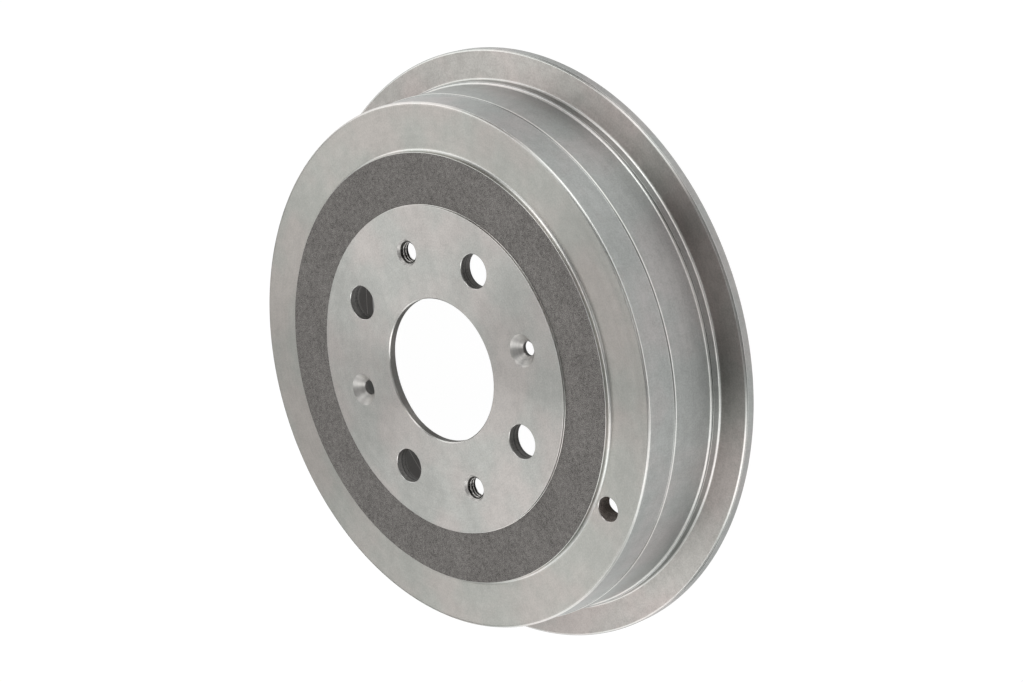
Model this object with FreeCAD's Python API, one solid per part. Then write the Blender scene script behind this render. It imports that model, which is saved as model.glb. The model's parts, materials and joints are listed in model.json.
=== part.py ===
import FreeCAD, Part

import math
import os

# A rear brake drum, cast in one piece and then turned. It lies on its open end:
# the origin is the centre of the open end, and +Z runs along the axis to the
# mounting face, which the road wheel is bolted against.

# Overall size
HEIGHT = 67.2
FRICTION_RADIUS = 114.3

# Hub bore, in the middle of the mounting pad
BORE_RADIUS = 32.5
BORE_FRONT_CHAMFER = 0.45
BORE_BACK_CHAMFER = 2.6

# Bolt circle, shared by the wheel bolts, the fixing screws and the jacking screws
BOLT_CIRCLE_RADIUS = 54.0
BOLT_COUNT = 4
BOLT_START_DEG = 45.0
BOLT_HOLE_RADIUS = 7.75
JACKING_COUNT = 2
JACKING_START_DEG = 0.0
JACKING_HOLE_RADIUS = 4.25
JACKING_CHAMFER = 1.8
FIXING_COUNT = 2
FIXING_START_DEG = 90.0
FIXING_HOLE_RADIUS = 3.3
FIXING_SINK = 4.0

# Mounting pad, turned flat, with the cast ring and the turned shoulder below it
PAD_MARGIN = 12.4
PAD_THICKNESS = 6.0
RING_DROP = 1.15
RING_THICKNESS = 6.55
SHOULDER_DROP = 3.75
SHOULDER_WIDTH = 21.75
SHOULDER_THICKNESS = 6.8
SHOULDER_FOOT_ROUND = 1.65
SHOULDER_EDGE_ROUND = 1.65

# Inspection hole through the shoulder, in line with one wheel bolt
INSPECTION_HOLE_RADIUS = 5.5
INSPECTION_INSET = 14.35
INSPECTION_DEG = -135.0

# Barrel, outside: it flares a little from the front down to a low step and on to the collar
BARREL_WALL = 4.85
BARREL_FLARE = 0.35
STEP_DEPTH = 19.2
STEP_HEIGHT = 0.6
REAR_FLARE = 0.45

# Collar and stiffening flange round the barrel
LIP_HEIGHT = 15.25
FLANGE_THICKNESS = 6.05
FLANGE_WIDTH = 13.8
FLANGE_SLOPE = 1.0
FLANGE_FOOT_CHAMFER = 1.0
FLANGE_EDGE_CHAMFER = 0.8
FLANGE_BACK_CHAMFER = 0.55
COLLAR_LENGTH = 4.1
COLLAR_RISE = 1.35

# Lip at the open end, which the back plate reaches over
LIP_WALL = 6.0
LIP_CHAMFER = 0.9
LIP_FOOT_CHAMFER = 1.3

# Inside: mouth, braking surface, its relief, the thick corner and the stepped web
MOUTH_DEPTH = 4.0
MOUTH_CLEARANCE = 1.1
RELIEF_WIDTH = 1.0
RELIEF_DEPTH = 0.9
CORNER_WIDTH = 15.7
CORNER_HEIGHT = 7.9
WEB_SLOPE_WIDTH = 3.85
SEAT_MARGIN = 11.0

# Radii and heights that follow from the sizes above
PAD_RADIUS = BOLT_CIRCLE_RADIUS + BOLT_HOLE_RADIUS + PAD_MARGIN
SEAT_RADIUS = BOLT_CIRCLE_RADIUS + BOLT_HOLE_RADIUS + SEAT_MARGIN
BARREL_RADIUS = FRICTION_RADIUS + BARREL_WALL
RING_RADIUS = BARREL_RADIUS - SHOULDER_WIDTH
INSPECTION_CIRCLE_RADIUS = BARREL_RADIUS - INSPECTION_INSET
STEP_TOP_RADIUS = BARREL_RADIUS + BARREL_FLARE
STEP_FOOT_RADIUS = STEP_TOP_RADIUS + STEP_HEIGHT
COLLAR_FOOT_RADIUS = STEP_FOOT_RADIUS + REAR_FLARE
COLLAR_RADIUS = COLLAR_FOOT_RADIUS + COLLAR_RISE
FLANGE_RADIUS = COLLAR_RADIUS + FLANGE_WIDTH
LIP_RADIUS = FRICTION_RADIUS + LIP_WALL
RELIEF_RADIUS = FRICTION_RADIUS + RELIEF_DEPTH

RING_Z = HEIGHT - RING_DROP
SHOULDER_Z = HEIGHT - SHOULDER_DROP
SEAT_Z = HEIGHT - PAD_THICKNESS
RING_BACK_Z = RING_Z - RING_THICKNESS
SHOULDER_BACK_Z = SHOULDER_Z - SHOULDER_THICKNESS
CORNER_Z = SHOULDER_BACK_Z - CORNER_HEIGHT
FLANGE_FRONT_Z = LIP_HEIGHT + FLANGE_THICKNESS
COLLAR_FRONT_Z = FLANGE_FRONT_Z + COLLAR_LENGTH

FULL_TURN = 360.0
ROUND_SPAN_DEG = 50.0
CUT_OVERRUN = 1.0
AXIS = FreeCAD.Vector(0, 0, 1)


def round_off(before, corner, after, radius):
    """The arcs that round a corner off, none of them over the longest span."""
    to_before = (before - corner).normalize()
    to_after = (after - corner).normalize()
    half_angle = to_before.getAngle(to_after) / 2
    centre = corner + (to_before + to_after).normalize() * (radius / math.sin(half_angle))
    start = corner + to_before * (radius / math.tan(half_angle)) - centre
    end = corner + to_after * (radius / math.tan(half_angle)) - centre
    turn_deg = math.degrees(start.getAngle(end))
    count = math.ceil(turn_deg / ROUND_SPAN_DEG)
    half_steps = [turn_deg * step / (2 * count) for step in range(2 * count + 1)]
    turns = [FreeCAD.Rotation(start.cross(end), angle_deg) for angle_deg in half_steps]
    stops = [centre + turn.multVec(start) for turn in turns]
    return [Part.Arc(*stops[first:first + 3]).toShape() for first in range(0, 2 * count, 2)]


def outline_wire(corners):
    """A closed wire in the XZ plane from (radius, height, rounding) corners."""
    points = [FreeCAD.Vector(radius, 0, height) for radius, height, _ in corners]
    rounds = []
    for index, (_, _, rounding) in enumerate(corners):
        following = points[(index + 1) % len(points)]
        if rounding:
            rounds.append(round_off(points[index - 1], points[index], following, rounding))
        else:
            rounds.append([Part.Vertex(points[index])])
    edges = []
    for index, here in enumerate(rounds):
        following = rounds[(index + 1) % len(rounds)]
        edges += [edge for edge in here if isinstance(edge, Part.Edge)]
        start = here[-1].Vertexes[-1].Point
        end = following[0].Vertexes[0].Point
        edges.append(Part.LineSegment(start, end).toShape())
    return Part.Wire(edges)


def face_corners():
    """The front, from the bore out: pad, cast ring and turned shoulder."""
    return [
        (BORE_RADIUS, HEIGHT - BORE_FRONT_CHAMFER, 0),
        (BORE_RADIUS + BORE_FRONT_CHAMFER, HEIGHT, 0),
        (PAD_RADIUS, HEIGHT, 0),
        (PAD_RADIUS, RING_Z, 0),
        (RING_RADIUS, RING_Z, 0),
        (RING_RADIUS, SHOULDER_Z, SHOULDER_FOOT_ROUND),
        (BARREL_RADIUS, SHOULDER_Z, SHOULDER_EDGE_ROUND),
    ]


def barrel_corners():
    """The outside of the barrel, from the front down to the collar."""
    step_z = HEIGHT - STEP_DEPTH
    return [
        (STEP_TOP_RADIUS, step_z, 0),
        (STEP_FOOT_RADIUS, step_z - STEP_HEIGHT, 0),
        (COLLAR_FOOT_RADIUS, COLLAR_FRONT_Z + COLLAR_RISE, 0),
        (COLLAR_RADIUS, COLLAR_FRONT_Z, 0),
    ]


def flange_corners():
    """The stiffening flange: its front falls away a little towards the rim."""
    rim_z = FLANGE_FRONT_Z - FLANGE_SLOPE
    return [
        (COLLAR_RADIUS, FLANGE_FRONT_Z + FLANGE_FOOT_CHAMFER, 0),
        (COLLAR_RADIUS + FLANGE_FOOT_CHAMFER, FLANGE_FRONT_Z, 0),
        (FLANGE_RADIUS - FLANGE_EDGE_CHAMFER, rim_z, 0),
        (FLANGE_RADIUS, rim_z - FLANGE_EDGE_CHAMFER, 0),
        (FLANGE_RADIUS, LIP_HEIGHT + FLANGE_BACK_CHAMFER, 0),
        (FLANGE_RADIUS - FLANGE_BACK_CHAMFER, LIP_HEIGHT, 0),
        (LIP_RADIUS + LIP_FOOT_CHAMFER, LIP_HEIGHT, 0),
        (LIP_RADIUS, LIP_HEIGHT - LIP_FOOT_CHAMFER, 0),
    ]


def mouth_corners():
    """The open end, from the outside of the lip in to the braking surface."""
    mouth_radius = FRICTION_RADIUS + MOUTH_CLEARANCE
    return [
        (LIP_RADIUS, LIP_CHAMFER, 0),
        (LIP_RADIUS - LIP_CHAMFER, 0, 0),
        (mouth_radius, 0, 0),
        (mouth_radius, MOUTH_DEPTH, 0),
        (FRICTION_RADIUS, MOUTH_DEPTH + MOUTH_CLEARANCE, 0),
    ]


def inside_corners():
    """The inside, from the braking surface up to the web and in to the bore."""
    relief_z = CORNER_Z - RELIEF_WIDTH
    return [
        (FRICTION_RADIUS, relief_z - RELIEF_DEPTH, 0),
        (RELIEF_RADIUS, relief_z, 0),
        (RELIEF_RADIUS, CORNER_Z, 0),
        (RELIEF_RADIUS - CORNER_WIDTH, SHOULDER_BACK_Z, 0),
        (RING_RADIUS, SHOULDER_BACK_Z, 0),
        (RING_RADIUS - WEB_SLOPE_WIDTH, RING_BACK_Z, 0),
        (SEAT_RADIUS, RING_BACK_Z, 0),
        (SEAT_RADIUS, SEAT_Z, 0),
        (BORE_RADIUS + BORE_BACK_CHAMFER, SEAT_Z, 0),
        (BORE_RADIUS, SEAT_Z + BORE_BACK_CHAMFER, 0),
    ]


def turned_blank():
    """The drum before drilling: its whole section turned about the axis."""
    corners = face_corners() + barrel_corners() + flange_corners()
    corners += mouth_corners() + inside_corners()
    section = Part.Face(outline_wire(corners))
    return section.revolve(FreeCAD.Vector(0, 0, 0), AXIS, FULL_TURN)


def drill(radius, sink):
    """A drill through the pad, which opens at 45 degrees over the sink's depth."""
    start_z = SEAT_Z - CUT_OVERRUN
    outline = [
        (0, start_z, 0),
        (radius, start_z, 0),
        (radius, HEIGHT - sink, 0),
        (radius + sink, HEIGHT, 0),
        (radius + sink, HEIGHT + CUT_OVERRUN, 0),
        (0, HEIGHT + CUT_OVERRUN, 0),
    ]
    section = Part.Face(outline_wire(outline))
    return section.revolve(FreeCAD.Vector(0, 0, 0), AXIS, FULL_TURN)


def on_circle(tool, circle_radius, angle_deg):
    """A copy of a tool, moved out along +X and turned about the axis."""
    placed = tool.copy()
    placed.translate(FreeCAD.Vector(circle_radius, 0, 0))
    placed.rotate(FreeCAD.Vector(0, 0, 0), AXIS, angle_deg)
    return placed


def bolt_circle_drills():
    """The holes through the pad: wheel bolts, fixing screws, jacking screws."""
    bolt = Part.makeCylinder(BOLT_HOLE_RADIUS, PAD_THICKNESS + 2 * CUT_OVERRUN)
    bolt.translate(FreeCAD.Vector(0, 0, SEAT_Z - CUT_OVERRUN))
    rows = [
        (bolt, BOLT_COUNT, BOLT_START_DEG),
        (drill(JACKING_HOLE_RADIUS, JACKING_CHAMFER), JACKING_COUNT, JACKING_START_DEG),
        (drill(FIXING_HOLE_RADIUS, FIXING_SINK), FIXING_COUNT, FIXING_START_DEG),
    ]
    drills = []
    for tool, count, start_deg in rows:
        for index in range(count):
            angle_deg = start_deg + index * FULL_TURN / count
            drills.append(on_circle(tool, BOLT_CIRCLE_RADIUS, angle_deg))
    return drills


def inspection_drill():
    """The plain hole through the shoulder and the edge of the thick corner behind it."""
    tool = Part.makeCylinder(INSPECTION_HOLE_RADIUS, SHOULDER_Z - CORNER_Z + CUT_OVERRUN)
    tool.translate(FreeCAD.Vector(0, 0, CORNER_Z))
    return on_circle(tool, INSPECTION_CIRCLE_RADIUS, INSPECTION_DEG)


def brake_drum():
    """The finished casting."""
    return turned_blank().cut(bolt_circle_drills() + [inspection_drill()])


def main():
    os.makedirs("parts", exist_ok=True)
    drum = brake_drum().Solids[0]
    drum.exportStep("parts/drum.step")
    box = drum.BoundBox
    print("drum", round(drum.Volume), "mm3", box.XLength, box.YLength, box.ZLength)


main()
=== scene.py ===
import json
import math

import bpy
from mathutils import Matrix, Vector


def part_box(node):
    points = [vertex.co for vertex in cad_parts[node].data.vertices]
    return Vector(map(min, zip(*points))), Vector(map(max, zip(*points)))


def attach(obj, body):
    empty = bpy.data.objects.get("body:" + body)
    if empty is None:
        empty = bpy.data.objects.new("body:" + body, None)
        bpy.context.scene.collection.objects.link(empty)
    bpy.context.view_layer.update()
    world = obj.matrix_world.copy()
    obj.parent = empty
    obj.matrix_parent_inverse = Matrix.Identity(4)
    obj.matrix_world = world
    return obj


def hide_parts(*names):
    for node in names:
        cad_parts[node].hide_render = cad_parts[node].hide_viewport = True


# A turned brake drum, lying on its open end. +Z is its axis and the mounting face is on top.
# Lengths are in metres. The CAD node is one solid; its visual mesh has the same form with the
# small rounds, edge breaks and threads that the solid leaves out.

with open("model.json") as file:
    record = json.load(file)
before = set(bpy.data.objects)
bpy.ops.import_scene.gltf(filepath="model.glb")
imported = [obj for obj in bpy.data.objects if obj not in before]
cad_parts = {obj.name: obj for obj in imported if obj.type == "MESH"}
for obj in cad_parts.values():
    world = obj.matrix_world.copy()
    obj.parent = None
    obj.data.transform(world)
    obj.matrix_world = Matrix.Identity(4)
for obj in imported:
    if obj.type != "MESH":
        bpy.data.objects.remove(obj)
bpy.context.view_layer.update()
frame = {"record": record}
mounts = {mount["name"]: mount for mount in frame["record"]["mounts"]}

MM = 0.001

# Sizes that the frame gives
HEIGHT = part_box("drum")[1].z
FLANGE_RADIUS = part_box("drum")[1].x
BORE_RADIUS = mounts["hub_bore"]["dims"]["r_mm"] * MM
BOLT_CIRCLE_RADIUS = mounts["wheel_bolts"]["dims"]["pcd_mm"] * MM / 2
BOLT_HOLE_RADIUS = mounts["wheel_bolts"]["dims"]["hole_r_mm"] * MM
FIXING_HOLE_RADIUS = mounts["fixing_screws"]["dims"]["hole_r_mm"] * MM
THREAD_MINOR_RADIUS = mounts["jacking_thread_a"]["dims"]["r_mm"] * MM
INSPECTION_HOLE_RADIUS = mounts["inspection_hole"]["dims"]["r_mm"] * MM
INSPECTION_CENTRE = Vector(mounts["inspection_hole"]["pos_m"][:2])
FRICTION_RADIUS = mounts["friction_bore"]["dims"]["r_mm"] * MM
SEAT_Z = mounts["hub_seat"]["pos_m"][2]

# Front: pad, cast ring and shoulder
PAD_RADIUS = BOLT_CIRCLE_RADIUS + BOLT_HOLE_RADIUS + 12.4 * MM
RING_RADIUS = FRICTION_RADIUS - 16.9 * MM
RING_Z = HEIGHT - 1.15 * MM
SHOULDER_Z = HEIGHT - 3.75 * MM
SHOULDER_ROUND = 1.65 * MM

# Barrel, collar and flange
BARREL_RADIUS = FRICTION_RADIUS + 4.85 * MM
STEP_TOP = (BARREL_RADIUS + 0.35 * MM, HEIGHT - 19.2 * MM)
STEP_FOOT = (STEP_TOP[0] + 0.6 * MM, STEP_TOP[1] - 0.6 * MM)
COLLAR_FOOT_RADIUS = STEP_FOOT[0] + 0.45 * MM
COLLAR_RADIUS = COLLAR_FOOT_RADIUS + 1.35 * MM
COLLAR_Z = 25.4 * MM
COLLAR_FOOT_ROUND = 1.3 * MM
FLANGE_FOOT_Z = 21.3 * MM
FLANGE_FOOT_ROUND = 1.4 * MM
FLANGE_EDGE_Z = 20.3 * MM
FLANGE_EDGE_CHAMFER = 0.8 * MM
FLANGE_EDGE_WORN = 0.3 * MM
FLANGE_BACK_Z = 15.25 * MM
FLANGE_BACK_CHAMFER = 0.55 * MM

# Lip and inside
LIP_RADIUS = FRICTION_RADIUS + 6 * MM
LIP_CHAMFER = 0.9 * MM
LIP_FOOT_ROUND = 1.3 * MM
MOUTH_RADIUS = FRICTION_RADIUS + 1.1 * MM
MOUTH_DEPTH = 4.0 * MM
RELIEF_RADIUS = FRICTION_RADIUS + 0.9 * MM
RELIEF_Z = 47.75 * MM
WEB_CORNER_Z = 48.75 * MM
WEB_CORNER_RADIUS = RELIEF_RADIUS - 15.7 * MM
WEB_CORNER_ROUND = 5.0 * MM
WEB_OUTER_Z = SHOULDER_Z - 6.8 * MM
WEB_SLOPE_RADIUS = RING_RADIUS - 3.85 * MM
WEB_INNER_Z = RING_Z - 6.55 * MM
SEAT_RADIUS = BOLT_CIRCLE_RADIUS + BOLT_HOLE_RADIUS + 11 * MM

# Edge breaks and small rounds
FINE_BREAK = 0.15 * MM
RING_BREAK = 0.2 * MM
PAD_FOOT_ROUND = 0.25 * MM
WORN_ROUND = 0.4 * MM
HIDDEN_ROUND = 0.5 * MM
STEP_ROUND = 0.7 * MM

# A round of this size or more gets the painted highlight (the bright edge finish) only in the middle, over
# this share of its arc; a smaller round gets it all along
BROAD_ROUND = 1.0 * MM
PAINTED_HIGHLIGHT_BAND = (0.2, 0.65)

# Holes
BOLT_ANGLES_DEG = (45, 135, 225, 315)
FIXING_ANGLES_DEG = (90, 270)
JACKING_ANGLES_DEG = (0, 180)
BORE_FRONT_CHAMFER = 0.45 * MM
BORE_BACK_CHAMFER = 2.6 * MM
BOLT_HOLE_BREAK = 0.2 * MM
FIXING_SINK = 4.0 * MM
JACKING_CHAMFER = 1.8 * MM
JACKING_BACK_CHAMFER = 1.0 * MM

# M10 thread in the two jacking holes
THREAD_PITCH = 1.5 * MM
THREAD_MAJOR_RADIUS = 5.0 * MM
THREAD_ROOT_FLAT = THREAD_PITCH / 8
THREAD_FLANK_DEG = 30.0
THREAD_ROWS_PER_PITCH = 16

# How fine the mesh is. The last two are for a quarter turn of a round, and of one under WORN_ROUND.
TURN_SEGMENTS = 480
HOLE_SEGMENTS = 96
ROUND_SEGMENTS = 8
FINE_ROUND_SEGMENTS = 3
SHARP_EDGE_DEG = 25.0
FLAT_FACE_WEIGHT = 100
CUT_OVERRUN = 0.6 * MM

FULL_TURN = 2 * math.pi
QUARTER_TURN = math.pi / 2
ROUND_UV = "round"
FINISHES = (
    "pad", "cast", "shoulder", "barrel", "flange", "rim", "edge", "inside", "bore",
    "drilled", "sink", "thread", "cored",
)

# Camera: the photograph's viewing angle, as it looks at the drum lying down
CAMERA_AIM = Vector((0.00515, -0.04936, HEIGHT))
CAMERA_DISTANCE = 1.18903
CAMERA_AZIMUTH_DEG = 2.4752
CAMERA_ELEVATION_DEG = 43.1100
CAMERA_ROLL_DEG = 107.6443
CAMERA_LENS_MM = 97.8739
CAMERA_SENSOR_MM = 36.0
CAMERA_REACH = 100.0


def section():
    """Corners of the turned outline as (radius, z, round, finish of the face that follows)."""
    chamfer_foot_z = FLANGE_EDGE_Z - FLANGE_EDGE_CHAMFER
    # The edge finish is a painted highlight: a brighter colour on the rounds and edge breaks, the bore's
    # front chamfer and part of the flange's edge chamfer
    return [
        (BORE_RADIUS, HEIGHT - BORE_FRONT_CHAMFER, 0, "edge"),
        (BORE_RADIUS + BORE_FRONT_CHAMFER, HEIGHT, 0, "pad"),
        (PAD_RADIUS, HEIGHT, FINE_BREAK, "pad"),
        (PAD_RADIUS, RING_Z, PAD_FOOT_ROUND, "cast"),
        (RING_RADIUS, RING_Z, RING_BREAK, "shoulder"),
        (RING_RADIUS, SHOULDER_Z, SHOULDER_ROUND, "shoulder"),
        (BARREL_RADIUS, SHOULDER_Z, SHOULDER_ROUND, "barrel"),
        (*STEP_TOP, FINE_BREAK, "barrel"),
        (*STEP_FOOT, STEP_ROUND, "barrel"),
        (COLLAR_FOOT_RADIUS, COLLAR_Z, COLLAR_FOOT_ROUND, "barrel"),
        (COLLAR_RADIUS, COLLAR_Z, FINE_BREAK, "barrel"),
        (COLLAR_RADIUS, FLANGE_FOOT_Z, FLANGE_FOOT_ROUND, "flange"),
        (FLANGE_RADIUS - FLANGE_EDGE_CHAMFER, FLANGE_EDGE_Z, WORN_ROUND, "edge"),
        (FLANGE_RADIUS - FLANGE_EDGE_WORN, chamfer_foot_z + FLANGE_EDGE_WORN, 0, "rim"),
        (FLANGE_RADIUS, chamfer_foot_z, FINE_BREAK, "rim"),
        (FLANGE_RADIUS, FLANGE_BACK_Z + FLANGE_BACK_CHAMFER, FINE_BREAK, "rim"),
        (FLANGE_RADIUS - FLANGE_BACK_CHAMFER, FLANGE_BACK_Z, FINE_BREAK, "rim"),
        (LIP_RADIUS, FLANGE_BACK_Z, LIP_FOOT_ROUND, "rim"),
        (LIP_RADIUS, LIP_CHAMFER, FINE_BREAK, "rim"),
        (LIP_RADIUS - LIP_CHAMFER, 0, FINE_BREAK, "rim"),
        (MOUTH_RADIUS, 0, FINE_BREAK, "inside"),
        (MOUTH_RADIUS, MOUTH_DEPTH, HIDDEN_ROUND, "inside"),
        (FRICTION_RADIUS, MOUTH_DEPTH + MOUTH_RADIUS - FRICTION_RADIUS, FINE_BREAK, "inside"),
        (FRICTION_RADIUS, RELIEF_Z + FRICTION_RADIUS - RELIEF_RADIUS, FINE_BREAK, "inside"),
        (RELIEF_RADIUS, RELIEF_Z, HIDDEN_ROUND, "inside"),
        (RELIEF_RADIUS, WEB_CORNER_Z, HIDDEN_ROUND, "cast"),
        (WEB_CORNER_RADIUS, WEB_OUTER_Z, WEB_CORNER_ROUND, "cast"),
        (RING_RADIUS, WEB_OUTER_Z, HIDDEN_ROUND, "cast"),
        (WEB_SLOPE_RADIUS, WEB_INNER_Z, HIDDEN_ROUND, "cast"),
        (SEAT_RADIUS, WEB_INNER_Z, HIDDEN_ROUND, "inside"),
        (SEAT_RADIUS, SEAT_Z, HIDDEN_ROUND, "inside"),
        (BORE_RADIUS + BORE_BACK_CHAMFER, SEAT_Z, FINE_BREAK, "bore"),
        (BORE_RADIUS, SEAT_Z + BORE_BACK_CHAMFER, 0, "bore"),
    ]


def rounded_corner(before, corner, after, radius):
    """Points of the arc that rounds a corner off."""
    to_before = (before - corner).normalized()
    to_after = (after - corner).normalized()
    half_angle = to_before.angle(to_after) / 2
    setback = radius / math.tan(half_angle)
    centre = corner + (to_before + to_after).normalized() * (radius / math.sin(half_angle))
    start = corner + to_before * setback - centre
    end = corner + to_after * setback - centre
    turn = start.angle_signed(end)
    per_quarter = ROUND_SEGMENTS if radius >= WORN_ROUND else FINE_ROUND_SEGMENTS
    count = max(2, round(per_quarter * abs(turn) / QUARTER_TURN))
    return [centre + Matrix.Rotation(-turn * step / count, 2) @ start for step in range(count + 1)]


def outline():
    """Points of the turned outline, each with the finish of the stretch that follows it."""
    corners = section()
    points = []
    for index, (radius, z, rounding, finish) in enumerate(corners):
        corner = Vector((radius, z))
        before = Vector(corners[index - 1][:2])
        after = Vector(corners[(index + 1) % len(corners)][:2])
        arc = rounded_corner(before, corner, after, rounding) if rounding else [corner]
        for step, point in enumerate(arc[:-1]):
            share = step / (len(arc) - 1)
            # Painted highlight: small rounds take the bright edge finish over their whole arc, broad ones
            # over the middle band only
            if rounding < BROAD_ROUND or PAINTED_HIGHLIGHT_BAND[0] <= share < PAINTED_HIGHLIGHT_BAND[1]:
                points.append((point, "edge"))
            else:
                points.append((point, corners[index - 1][3] if share < PAINTED_HIGHLIGHT_BAND[0] else finish))
        points.append((arc[-1], finish))
    return points


def ring_mesh(name, rows, segments, closed_loop):
    """A mesh of rings. Each row is (function from angle to (x, y, z), finish of the band above)."""
    angles = [FULL_TURN * step / segments for step in range(segments)]
    vertices = [place(angle) for place, _ in rows for angle in angles]
    faces, finishes = [], []
    bands = len(rows) if closed_loop else len(rows) - 1
    for band in range(bands):
        here, there = band * segments, (band + 1) % len(rows) * segments
        for step in range(segments):
            ahead = (step + 1) % segments
            faces.append((here + step, here + ahead, there + ahead, there + step))
            finishes.append(FINISHES.index(rows[band][1]))
    if not closed_loop:
        last = (len(rows) - 1) * segments
        faces.append(tuple(reversed(range(segments))))
        faces.append(tuple(last + step for step in range(segments)))
        finishes += [FINISHES.index("drilled")] * 2
    mesh = bpy.data.meshes.new(name)
    mesh.from_pydata(vertices, [], faces)
    for finish in FINISHES:
        mesh.materials.append(bpy.data.materials[finish])
    mesh.polygons.foreach_set("material_index", finishes)
    lay_round_uv(mesh, segments, bands)
    piece = bpy.data.objects.new(name, mesh)
    bpy.context.scene.collection.objects.link(piece)
    return piece


def lay_round_uv(mesh, segments, bands):
    """A UV layer with U once round the ring and V along its outline. It gives the tool marks' direction."""
    layer = mesh.uv_layers.new(name=ROUND_UV)
    for polygon in mesh.polygons[:segments * bands]:
        band, step = divmod(polygon.index, segments)
        corners = ((step, band), (step + 1, band), (step + 1, band + 1), (step, band + 1))
        for loop, (across, along) in zip(polygon.loop_indices, corners):
            layer.data[loop].uv = (across / segments, along / bands)


def on_ring(centre, radius_at, z):
    """A function from an angle to the point at that angle, radius_at(angle) from the ring's centre."""
    def place(angle):
        radius = radius_at(angle)
        return (centre[0] + radius * math.cos(angle), centre[1] + radius * math.sin(angle), z)
    return place


def turned_body():
    """The outline turned about the axis."""
    rows = [
        (on_ring((0, 0), lambda angle, radius=point.x: radius, point.y), finish)
        for point, finish in outline()
    ]
    return ring_mesh("drum_casting", rows, TURN_SEGMENTS, closed_loop=True)


def plain_cutter(name, centre, steps):
    """A cutter with straight or conical walls. Each step is (z, radius, finish of the wall above)."""
    rows = [
        (on_ring(centre, lambda angle, radius=radius: radius, z), finish)
        for z, radius, finish in steps
    ]
    return ring_mesh(name, rows, HOLE_SEGMENTS, closed_loop=False)


# The sink's default finish is the edge finish, a painted highlight round the hole's mouth
def through_hole(name, centre, radius, low, high, sink, back=0.0, finish="drilled", sink_finish="edge"):
    """A cutter for a hole from low to high, with a 45 degree sink at the top and, if back is given, below."""
    return plain_cutter(name, centre, [
        (low - CUT_OVERRUN, radius + (back + CUT_OVERRUN if back else 0.0), finish),
        (low + back, radius, finish),
        (high - sink, radius, sink_finish),
        (high + CUT_OVERRUN, radius + sink + CUT_OVERRUN, finish),
    ])


def thread_radius(angle, z):
    """Radius of the thread at an angle and height: root flat, flanks and crest flat."""
    phase = z / THREAD_PITCH - angle / FULL_TURN
    from_root = abs(phase - math.floor(phase) - 0.5) * THREAD_PITCH
    up_flank = max(0.0, from_root - THREAD_ROOT_FLAT / 2)
    return max(THREAD_MINOR_RADIUS, THREAD_MAJOR_RADIUS - up_flank / math.tan(math.radians(THREAD_FLANK_DEG)))


def threaded_cutter(name, centre, low, high):
    """A cutter with a helical wall and a countersink at each end."""
    def row(z):
        mouth = THREAD_MINOR_RADIUS + max(z - high + JACKING_CHAMFER, low - z + JACKING_BACK_CHAMFER)
        return on_ring(centre, lambda angle: max(mouth, thread_radius(angle, z)), z)
    start, end = low - CUT_OVERRUN, high + CUT_OVERRUN
    count = round((end - start) / THREAD_PITCH * THREAD_ROWS_PER_PITCH)
    heights = [start + (end - start) * step / count for step in range(count + 1)]
    sink_foot = high - JACKING_CHAMFER + THREAD_MAJOR_RADIUS - THREAD_MINOR_RADIUS
    rows = [(row(z), "sink" if z > sink_foot else "thread") for z in heights]
    return ring_mesh(name, rows, HOLE_SEGMENTS, closed_loop=False)


def on_bolt_circle(angle_deg):
    """The point at an angle on the circle that the bolt, fixing and jacking holes share."""
    angle = math.radians(angle_deg)
    return (BOLT_CIRCLE_RADIUS * math.cos(angle), BOLT_CIRCLE_RADIUS * math.sin(angle))


def cutters():
    """One cutter for every hole in the web."""
    made = [
        through_hole(f"bolt_{angle_deg}", on_bolt_circle(angle_deg), BOLT_HOLE_RADIUS, SEAT_Z, HEIGHT,
                     BOLT_HOLE_BREAK, back=BOLT_HOLE_BREAK)
        for angle_deg in BOLT_ANGLES_DEG
    ]
    made += [
        through_hole(f"fixing_{angle_deg}", on_bolt_circle(angle_deg), FIXING_HOLE_RADIUS, SEAT_Z, HEIGHT,
                     FIXING_SINK, back=BOLT_HOLE_BREAK, sink_finish="sink")
        for angle_deg in FIXING_ANGLES_DEG
    ]
    made += [
        threaded_cutter(f"jacking_{angle_deg}", on_bolt_circle(angle_deg), SEAT_Z, HEIGHT)
        for angle_deg in JACKING_ANGLES_DEG
    ]
    made.append(through_hole("inspection", INSPECTION_CENTRE, INSPECTION_HOLE_RADIUS, WEB_CORNER_Z,
                             SHOULDER_Z, BOLT_HOLE_BREAK, finish="cored"))
    return made


def evaluated_mesh(piece):
    """The piece's mesh with its modifiers applied."""
    depsgraph = bpy.context.evaluated_depsgraph_get()
    return bpy.data.meshes.new_from_object(piece.evaluated_get(depsgraph), depsgraph=depsgraph)


def drilled_drum():
    """The turned body with its holes cut, shaded smooth between its real edges."""
    body = turned_body()
    tools = cutters()
    for tool in tools:
        cut = body.modifiers.new(tool.name, "BOOLEAN")
        cut.operation = "DIFFERENCE"
        cut.solver = "EXACT"
        cut.material_mode = "INDEX"
        cut.object = tool
    body.data = evaluated_mesh(body)
    body.modifiers.clear()
    for tool in tools:
        bpy.data.objects.remove(tool)
    body.data.polygons.foreach_set("use_smooth", [True] * len(body.data.polygons))
    body.data.set_sharp_from_angle(angle=math.radians(SHARP_EDGE_DEG))
    normals = body.modifiers.new("weighted", "WEIGHTED_NORMAL")
    normals.mode = "FACE_AREA"
    normals.weight = FLAT_FACE_WEIGHT
    normals.keep_sharp = True
    body.data = evaluated_mesh(body)
    body.modifiers.clear()
    return body


# Materials

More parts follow.
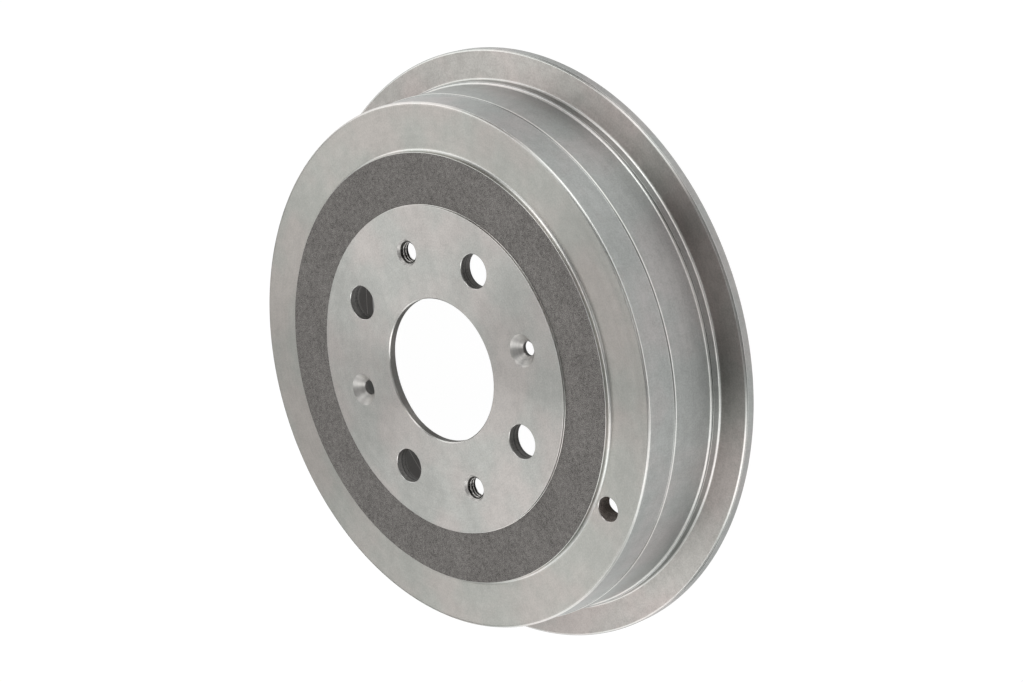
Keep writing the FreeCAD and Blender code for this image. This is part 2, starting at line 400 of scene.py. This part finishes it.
# Noise layers: cells per metre, detail, roughness
CLOUD = (30.0, 3.0, 0.5)
MOTTLE = (200.0, 3.0, 0.6)
SPECK = (1400.0, 2.0, 0.5)
LATHE_BANDS = (700.0, 3.0, 0.6)
LATHE_LINES = (3500.0, 2.0, 0.6)
DRILL_BANDS = (1300.0, 1.0, 0.5)
SAND_CLOUD = (60.0, 2.0, 0.5)
SAND_PITS = (600.0, 3.0, 0.6)
SAND_GRAIN = (2300.0, 1.0, 0.5)

# How far the tool marks drift along their own direction, against across it
MARK_DRIFT = 0.004

# The stretch of a tone's noise that runs from the dark colour to the light one
TURNED_TONE = (0.40, 0.60)
DRILLED_TONE = (0.35, 0.65)
CAST_TONE = (0.36, 0.64)

# Broad patches of tint
TINT_SPREAD = (0.42, 0.58)
GREENISH = (0.97, 1.0, 0.985)
PINKISH = (1.0, 0.975, 0.965)

# How the roughness varies with the lathe's bands
BAND_SPREAD = (0.3, 0.7)
BAND_ROUGHNESS = 0.03

# A quarter turn, which spreads the sheen across the marks
ACROSS_MARKS = 0.25

# Share of the thread's depth at which the painted highlight on the crest ends and the painted shade in the
# groove starts
CREST_DEPTH = 0.05
GROOVE_DEPTH = 0.4

CAST_METALLIC = 0.8


def add_node(tree, kind, inputs=None, **settings):
    """A new node with its settings, and its inputs set to values or linked to sockets."""
    made = tree.nodes.new(kind)
    for key, value in settings.items():
        setattr(made, key, value)
    for key, value in (inputs or {}).items():
        if isinstance(value, bpy.types.NodeSocket):
            tree.links.new(value, made.inputs[key])
        else:
            made.inputs[key].default_value = value
    return made


def math_node(tree, operation, first, second=0.0):
    return add_node(tree, "ShaderNodeMath", {0: first, 1: second}, operation=operation).outputs[0]


def noise(tree, vector, layer):
    """Noise with a layer's cells per metre, detail and roughness."""
    scale, detail, roughness = layer
    inputs = {"Vector": vector, "Scale": scale, "Detail": detail, "Roughness": roughness}
    return add_node(tree, "ShaderNodeTexNoise", inputs).outputs["Fac"]


def sum_of(tree, parts):
    """The weighted sum of (value, weight) pairs."""
    total = 0.0
    for value, weight in parts:
        inputs = {0: value, 1: weight, 2: total}
        total = add_node(tree, "ShaderNodeMath", inputs, operation="MULTIPLY_ADD").outputs[0]
    return total


def blend_colour(tree, factor, first, second, blend_type="MIX"):
    """The two colours mixed by the factor. Each is three numbers or a socket."""
    made = add_node(tree, "ShaderNodeMix", {"Factor": factor}, data_type="RGBA", blend_type=blend_type)
    for socket, value in ((made.inputs[6], first), (made.inputs[7], second)):
        if isinstance(value, bpy.types.NodeSocket):
            tree.links.new(value, socket)
        else:
            socket.default_value = (*value, 1.0)
    return made.outputs[2]


def spread(tree, value, low, high, to_low=0.0, to_high=1.0):
    """The value's stretch from low to high, laid over the one from to_low to to_high and held at its ends."""
    inputs = {"Value": value, "From Min": low, "From Max": high, "To Min": to_low, "To Max": to_high}
    return add_node(tree, "ShaderNodeMapRange", inputs).outputs[0]


def new_material(name):
    material = bpy.data.materials.new(name)
    material.use_nodes = True
    material.node_tree.nodes.clear()
    return material, material.node_tree


def mark_coordinates(tree, drilled):
    """The object's coordinates, and a vector that runs fast across the tool marks and slowly along them."""
    place = add_node(tree, "ShaderNodeTexCoord").outputs["Object"]
    height = add_node(tree, "ShaderNodeSeparateXYZ", {0: place}).outputs[2]
    flat = add_node(tree, "ShaderNodeVectorMath", {0: place, 1: (1, 1, 0)}, operation="MULTIPLY").outputs[0]
    radius = add_node(tree, "ShaderNodeVectorMath", {0: flat}, operation="LENGTH").outputs["Value"]
    across = height if drilled else math_node(tree, "SUBTRACT", radius, height)
    drift = {0: flat, 1: (MARK_DRIFT,) * 3}
    slow = add_node(tree, "ShaderNodeVectorMath", drift, operation="MULTIPLY").outputs[0]
    lift = add_node(tree, "ShaderNodeCombineXYZ", {2: across}).outputs[0]
    marks = add_node(tree, "ShaderNodeVectorMath", {0: slow, 1: lift}, operation="ADD").outputs[0]
    return place, marks


def tinted(tree, colour, cloud):
    """The colour with broad patches that lean a little to green and to pink."""
    tint = blend_colour(tree, spread(tree, cloud, *TINT_SPREAD), GREENISH, PINKISH)
    return blend_colour(tree, 1.0, colour, tint, blend_type="MULTIPLY")


def bump(tree, heights, depth):
    """The normal that the heights give, where 1 is the depth in metres."""
    inputs = {"Height": heights, "Strength": 1.0, "Distance": depth}
    return add_node(tree, "ShaderNodeBump", inputs).outputs[0]


def metal(tree, colour, roughness, anisotropy, tangent, normal):
    """The metal's shader, straight to the material's output."""
    shader = add_node(tree, "ShaderNodeBsdfPrincipled", {
        "Base Color": colour, "Metallic": 1.0, "Roughness": roughness, "Anisotropic": anisotropy,
        "Anisotropic Rotation": ACROSS_MARKS, "Tangent": tangent.outputs[0], "Normal": normal,
    })
    add_node(tree, "ShaderNodeOutputMaterial", {"Surface": shader.outputs[0]})


def turned_iron(name, light, dark, roughness=0.38, groove_depth=0.6e-6, anisotropy=0.9):
    """Bare turned iron: fine marks, a soft mottle of two tones and a sheen that spreads across the marks."""
    material, tree = new_material(name)
    place, marks = mark_coordinates(tree, drilled=False)
    cloud = noise(tree, place, CLOUD)
    mottle = noise(tree, place, MOTTLE)
    speck = noise(tree, place, SPECK)
    bands = noise(tree, marks, LATHE_BANDS)
    lines = noise(tree, marks, LATHE_LINES)
    tone = sum_of(tree, ((cloud, 0.25), (mottle, 0.25), (speck, 0.35), (bands, 0.15)))
    colour = tinted(tree, blend_colour(tree, spread(tree, tone, *TURNED_TONE), dark, light), cloud)
    gloss = spread(tree, bands, *BAND_SPREAD, roughness - BAND_ROUGHNESS, roughness + BAND_ROUGHNESS)
    normal = bump(tree, sum_of(tree, ((lines, 1.0), (bands, 2.0))), groove_depth)
    tangent = add_node(tree, "ShaderNodeTangent", direction_type="RADIAL", axis="Z")
    metal(tree, colour, gloss, anisotropy, tangent, normal)


def drilled_iron(name, light, dark, roughness, anisotropy, groove_depth=1.5e-6, threaded=False):
    """The wall of a hole, with the drill's or the tap's marks round the hole."""
    material, tree = new_material(name)
    place, marks = mark_coordinates(tree, drilled=True)
    speck = noise(tree, place, SPECK)
    bands = noise(tree, marks, DRILL_BANDS)
    # A threaded wall takes its tone from the painted highlight on the crests and the painted shade in the
    # grooves
    tone = crest_highlight_and_groove_shade(tree, place) if threaded else sum_of(tree, ((speck, 0.35), (bands, 0.65)))
    colour = blend_colour(tree, spread(tree, tone, *DRILLED_TONE), dark, light)
    tangent = add_node(tree, "ShaderNodeTangent", direction_type="UV_MAP", uv_map=ROUND_UV)
    metal(tree, colour, roughness, anisotropy, tangent, bump(tree, bands, groove_depth))


def crest_highlight_and_groove_shade(tree, place):
    """1 on the crests of the two threads, where a highlight is painted, and 0 in their grooves, where shade
    is painted.
    """
    across, along = add_node(tree, "ShaderNodeSeparateXYZ", {0: place}).outputs[:2]
    from_centre = math_node(tree, "SUBTRACT", math_node(tree, "ABSOLUTE", across), BOLT_CIRCLE_RADIUS)
    spot = add_node(tree, "ShaderNodeCombineXYZ", {0: from_centre, 1: along}).outputs[0]
    radius = add_node(tree, "ShaderNodeVectorMath", {0: spot}, operation="LENGTH").outputs["Value"]
    depth = THREAD_MAJOR_RADIUS - THREAD_MINOR_RADIUS
    crest_end = THREAD_MINOR_RADIUS + CREST_DEPTH * depth
    groove_start = THREAD_MINOR_RADIUS + GROOVE_DEPTH * depth
    return spread(tree, radius, crest_end, groove_start, 1.0, 0.0)


def cast_iron(name, light, dark, roughness, grain_depth):
    """The casting's own sandy skin."""
    material, tree = new_material(name)
    place = add_node(tree, "ShaderNodeTexCoord").outputs["Object"]
    grain = noise(tree, place, SAND_GRAIN)
    pits = noise(tree, place, SAND_PITS)
    cloud = noise(tree, place, SAND_CLOUD)
    tone = sum_of(tree, ((grain, 0.60), (pits, 0.30), (cloud, 0.10)))
    colour = blend_colour(tree, spread(tree, tone, *CAST_TONE), dark, light)
    normal = bump(tree, sum_of(tree, ((grain, 1.0), (pits, 0.7))), grain_depth)
    shader = add_node(tree, "ShaderNodeBsdfPrincipled", {
        "Base Color": colour, "Metallic": CAST_METALLIC, "Roughness": roughness, "Normal": normal,
    })
    add_node(tree, "ShaderNodeOutputMaterial", {"Surface": shader.outputs[0]})


def make_materials():
    """One material for each finish, with its light and its dark colour."""
    turned_iron("pad", (0.60, 0.585, 0.565), (0.455, 0.445, 0.43))
    turned_iron("shoulder", (0.54, 0.525, 0.50), (0.43, 0.42, 0.40))
    turned_iron("barrel", (0.48, 0.48, 0.475), (0.365, 0.365, 0.36), groove_depth=1.0e-6)
    turned_iron("flange", (0.555, 0.525, 0.505), (0.405, 0.38, 0.365))
    turned_iron("rim", (0.44, 0.44, 0.435), (0.34, 0.34, 0.335), groove_depth=1.2e-6)
    # Painted highlight: the rounds and edge breaks get this brighter, smoother finish so they show as bright
    # lines
    turned_iron("edge", (0.80, 0.79, 0.77), (0.70, 0.69, 0.67), roughness=0.32, anisotropy=0.3)
    turned_iron("inside", (0.40, 0.395, 0.385), (0.34, 0.335, 0.33), groove_depth=1.0e-6)
    turned_iron("bore", (0.50, 0.49, 0.47), (0.42, 0.41, 0.395), groove_depth=0.8e-6)
    drilled_iron("drilled", (0.60, 0.585, 0.565), (0.22, 0.215, 0.21), roughness=0.40, anisotropy=0.5)
    drilled_iron("sink", (0.66, 0.645, 0.62), (0.56, 0.55, 0.53), roughness=0.45, anisotropy=0.0,
                 groove_depth=0.6e-6)
    # Painted light: the light colour paints a highlight on the thread crests and the near-black one paints
    # shade in the grooves
    drilled_iron("thread", (0.85, 0.83, 0.80), (0.05, 0.048, 0.045), roughness=0.34, anisotropy=0.3,
                 groove_depth=0.3e-6, threaded=True)
    cast_iron("cast", (0.34, 0.325, 0.31), (0.093, 0.087, 0.082), roughness=0.62, grain_depth=25e-6)
    # Painted light: the cored wall's colours are lifted to about twice the cast skin's, standing in for light
    # that does not reach this wall
    cast_iron("cored", (0.60, 0.54, 0.50), (0.20, 0.175, 0.16), roughness=0.6, grain_depth=40e-6)


# Studio

FLOOR_SIZE = 6.0
FLOOR_GLOW = 0.99
FLOOR_SHADOW_SHARE = 0.06
# Glow of the floor under the drum: a painted shadow
FLOOR_PAINTED_SHADOW = 0.2
FLOOR_COLOUR = 0.8
SKY_LEVEL = 0.06
# Rounded soft boxes in degrees: azimuth from +X, its half width, elevation, its half height,
# width of the soft edge; then the strength
SOFTBOXES = [
    (85, 52, 57, 18, 24, 1.85),
    (-155, 20, 35, 15, 12, 2.4),
    (-30, 18, 25, 18, 12, 2.15),
    (-90, 57, 3, 10, 10, 2.4),
    (35, 20, 18, 25, 15, 1.35),
    (145, 15, 8, 17, 10, 1.6),
    (130, 16, 45, 10, 10, 1.3),
    (55, 8, 42, 11, 14, 0.6),
    (-90, 25, 64, 5, 8, 2.8),
    (5, 16, 52, 12, 14, 1.3),
    (178, 16, 52, 12, 14, 1.0),
    (160, 10, 32, 8, 12, 1.5),
    (62, 12, 25, 10, 12, 1.3),
    (-168, 14, 8, 10, 10, 0.9),
    (122, 12, 28, 9, 12, 0.9),
]


def seen_as_background(tree):
    """1 for the rays that see the background, from the camera, metal or glass, and the path's outputs."""
    path = add_node(tree, "ShaderNodeLightPath").outputs
    seen = math_node(tree, "MAXIMUM", path["Is Camera Ray"], path["Is Glossy Ray"])
    return math_node(tree, "MAXIMUM", seen, path["Is Transmission Ray"]), path


def make_floor():
    """A pale floor that shows white and keeps the drum's shadow. Under the drum its glow drops, a painted
    shadow.

    The camera still sees it white through the drum's mouth, and sees the painted shadow in the ring under the
    lip.
    """
    half = FLOOR_SIZE / 2
    corners = [(-half, -half, 0), (half, -half, 0), (half, half, 0), (-half, half, 0)]
    mesh = bpy.data.meshes.new("floor")
    mesh.from_pydata(corners, [], [(0, 1, 2, 3)])
    floor = bpy.data.objects.new("floor", mesh)
    bpy.context.scene.collection.objects.link(floor)
    material, tree = new_material("floor")
    seen, path = seen_as_background(tree)
    place = add_node(tree, "ShaderNodeTexCoord").outputs["Object"]
    radius = add_node(tree, "ShaderNodeVectorMath", {0: place}, operation="LENGTH").outputs["Value"]
    # Painted shadow: the glow drops to its low level inside the lip, and for the camera between the friction
    # bore and the lip
    outside = math_node(tree, "GREATER_THAN", radius, LIP_RADIUS)
    in_mouth = math_node(tree, "LESS_THAN", radius, FRICTION_RADIUS)
    shown = math_node(tree, "MULTIPLY", in_mouth, path["Is Camera Ray"])
    bright = math_node(tree, "MAXIMUM", outside, shown)
    level = spread(tree, bright, 0.0, 1.0, FLOOR_PAINTED_SHADOW, FLOOR_GLOW)
    pale, faint = [
        add_node(tree, "ShaderNodeBsdfDiffuse", {"Color": (grey, grey, grey, 1)}).outputs[0]
        for grey in (FLOOR_COLOUR, FLOOR_SHADOW_SHARE)
    ]
    glow = add_node(tree, "ShaderNodeEmission", {"Strength": level}).outputs[0]
    white = add_node(tree, "ShaderNodeAddShader", {0: faint, 1: glow}).outputs[0]
    mixed = add_node(tree, "ShaderNodeMixShader", {0: seen, 1: pale, 2: white}).outputs[0]
    add_node(tree, "ShaderNodeOutputMaterial", {"Surface": mixed})
    mesh.materials.append(material)


def soft_edge(tree, distance, half, edge):
    """1 within half, falling smoothly to 0 over the edge's width."""
    inputs = {
        "Value": distance, "From Min": half - edge / 2, "From Max": half + edge / 2,
        "To Min": 1.0, "To Max": 0.0,
    }
    return add_node(tree, "ShaderNodeMapRange", inputs, interpolation_type="SMOOTHSTEP").outputs[0]


def away_from(tree, angle_deg, centre_deg):
    """How far an angle is from a centre, the short way round."""
    inputs = {0: math_node(tree, "SUBTRACT", angle_deg, centre_deg), 1: 180.0, 2: -180.0}
    wrapped = add_node(tree, "ShaderNodeMath", inputs, operation="WRAP").outputs[0]
    return math_node(tree, "ABSOLUTE", wrapped)


def make_world():
    """Dim light from all round, with broad soft boxes in it. The camera sees plain white."""
    world = bpy.data.worlds.new("studio")
    world.use_nodes = True
    tree = world.node_tree
    tree.nodes.clear()
    direction = add_node(tree, "ShaderNodeTexCoord").outputs["Generated"]
    x, y, z = add_node(tree, "ShaderNodeSeparateXYZ", {0: direction}).outputs
    azimuth = math_node(tree, "DEGREES", math_node(tree, "ARCTAN2", y, x))
    elevation = math_node(tree, "DEGREES", math_node(tree, "ARCSINE", z))
    level = SKY_LEVEL
    for azimuth_deg, half_width, elevation_deg, half_height, edge, strength in SOFTBOXES:
        wide = soft_edge(tree, away_from(tree, azimuth, azimuth_deg), half_width, edge)
        high = soft_edge(tree, away_from(tree, elevation, elevation_deg), half_height, edge)
        box = math_node(tree, "MULTIPLY", wide, high)
        level = sum_of(tree, ((level, 1.0), (box, strength)))
    path = add_node(tree, "ShaderNodeLightPath").outputs
    light = add_node(tree, "ShaderNodeBackground", {"Strength": level}).outputs[0]
    white = add_node(tree, "ShaderNodeBackground", {"Strength": 1.0}).outputs[0]
    mixed = add_node(tree, "ShaderNodeMixShader", {0: path["Is Camera Ray"], 1: light, 2: white}).outputs[0]
    add_node(tree, "ShaderNodeOutputWorld", {"Surface": mixed})
    bpy.context.scene.world = world


def make_camera():
    """The camera at its distance from the aim, turned about its line of sight."""
    data = bpy.data.cameras.new("camera")
    data.lens = CAMERA_LENS_MM
    data.sensor_width = CAMERA_SENSOR_MM
    data.clip_end = CAMERA_REACH
    camera = bpy.data.objects.new("camera", data)
    bpy.context.scene.collection.objects.link(camera)
    azimuth, elevation = math.radians(CAMERA_AZIMUTH_DEG), math.radians(CAMERA_ELEVATION_DEG)
    back = Vector((
        math.sin(azimuth) * math.cos(elevation),
        -math.cos(azimuth) * math.cos(elevation),
        math.sin(elevation),
    ))
    camera.location = CAMERA_AIM + back * CAMERA_DISTANCE
    roll = Matrix.Rotation(math.radians(-CAMERA_ROLL_DEG), 3, "Z")
    camera.rotation_euler = ((-back).to_track_quat("-Z", "Y").to_matrix() @ roll).to_euler()
    bpy.context.scene.camera = camera


make_camera()
make_materials()
drum = drilled_drum()
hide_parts("drum")
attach(drum, "root")
make_floor()
make_world()
bpy.context.scene.view_settings.view_transform = "Standard"
